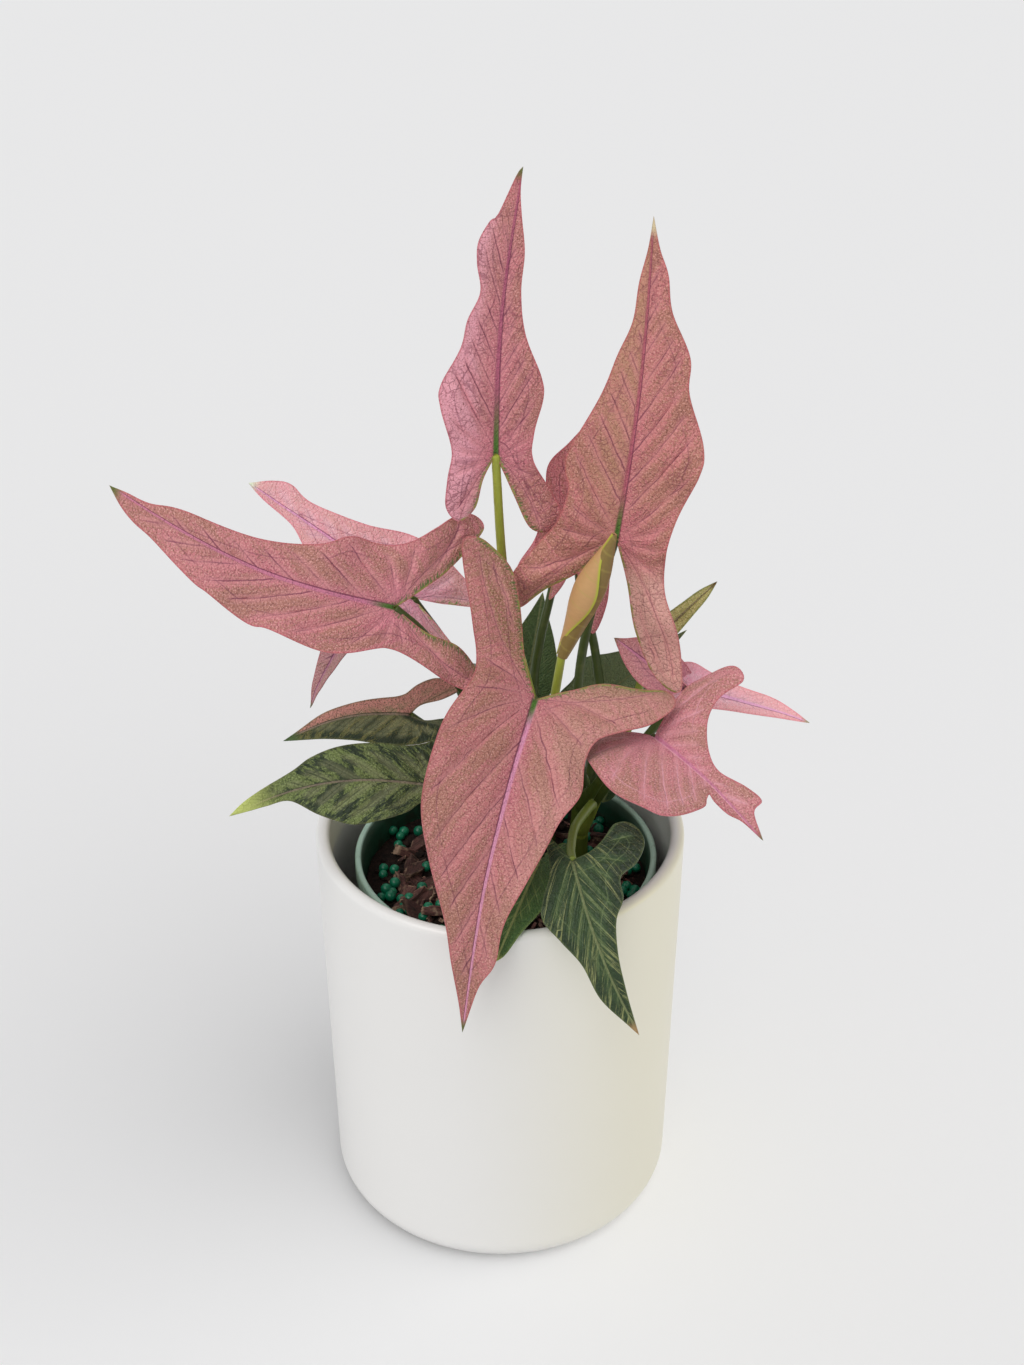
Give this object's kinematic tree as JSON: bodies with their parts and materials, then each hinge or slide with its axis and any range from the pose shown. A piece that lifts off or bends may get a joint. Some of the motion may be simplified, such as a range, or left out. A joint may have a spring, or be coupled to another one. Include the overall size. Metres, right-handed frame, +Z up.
{
  "type": "potted arrowhead plant",
  "caption": "Arrowhead plant with pink, marbled and dark green leaves, growing in a nursery pot inside a plain white ceramic cover pot.",
  "frame": {"origin": "centre of the cover pot's flat underside", "axes": "+Z up, -Y towards the front of the plant, +X to its right"},
  "size_m": [0.2072, 0.1847, 0.3511],
  "materials": {
    "ceramic": "satin white glaze",
    "nursery_plastic": "dark green moulded plastic with a paler rim",
    "soil": "damp potting mix with bark chips and teal prills",
    "stalk": "smooth green stalk",
    "leaf_pink": "dusty pink leaf with green and brown speckle",
    "leaf_marbled": "green leaf marbled with pale green and pink",
    "leaf_green": "dark green leaf with pale veins",
    "leaf_young": "young light green leaf",
    "leaf_furled": "rolled new leaf, yellow-olive"
  },
  "bodies": {
    "root": {"cachepot": "ceramic", "grow_pot": "nursery_plastic", "soil": "soil", "shoot_left": "stalk", "shoot_middle": "stalk", "shoot_right": "stalk", "leaf_top": "leaf_pink", "leaf_upper_right": "leaf_pink", "leaf_upper_rear": "leaf_pink", "leaf_left_large": "leaf_pink", "leaf_left_back": "leaf_pink", "leaf_left_hanging": "leaf_pink", "leaf_front_large": "leaf_pink", "leaf_right_low": "leaf_pink", "leaf_right_tail": "leaf_pink", "leaf_young_right": "leaf_young", "leaf_rear_middle": "leaf_green", "leaf_rear_right": "leaf_green", "leaf_marbled_upper": "leaf_marbled", "leaf_marbled_lower": "leaf_marbled", "leaf_front_green": "leaf_green", "leaf_front_green_inner": "leaf_green", "leaf_small_low": "leaf_green", "leaf_rear_top": "leaf_pink", "leaf_rear_low": "leaf_marbled", "leaf_rear_right_low": "leaf_green", "furled_leaf": "leaf_furled"}
  },
  "joints": []
}
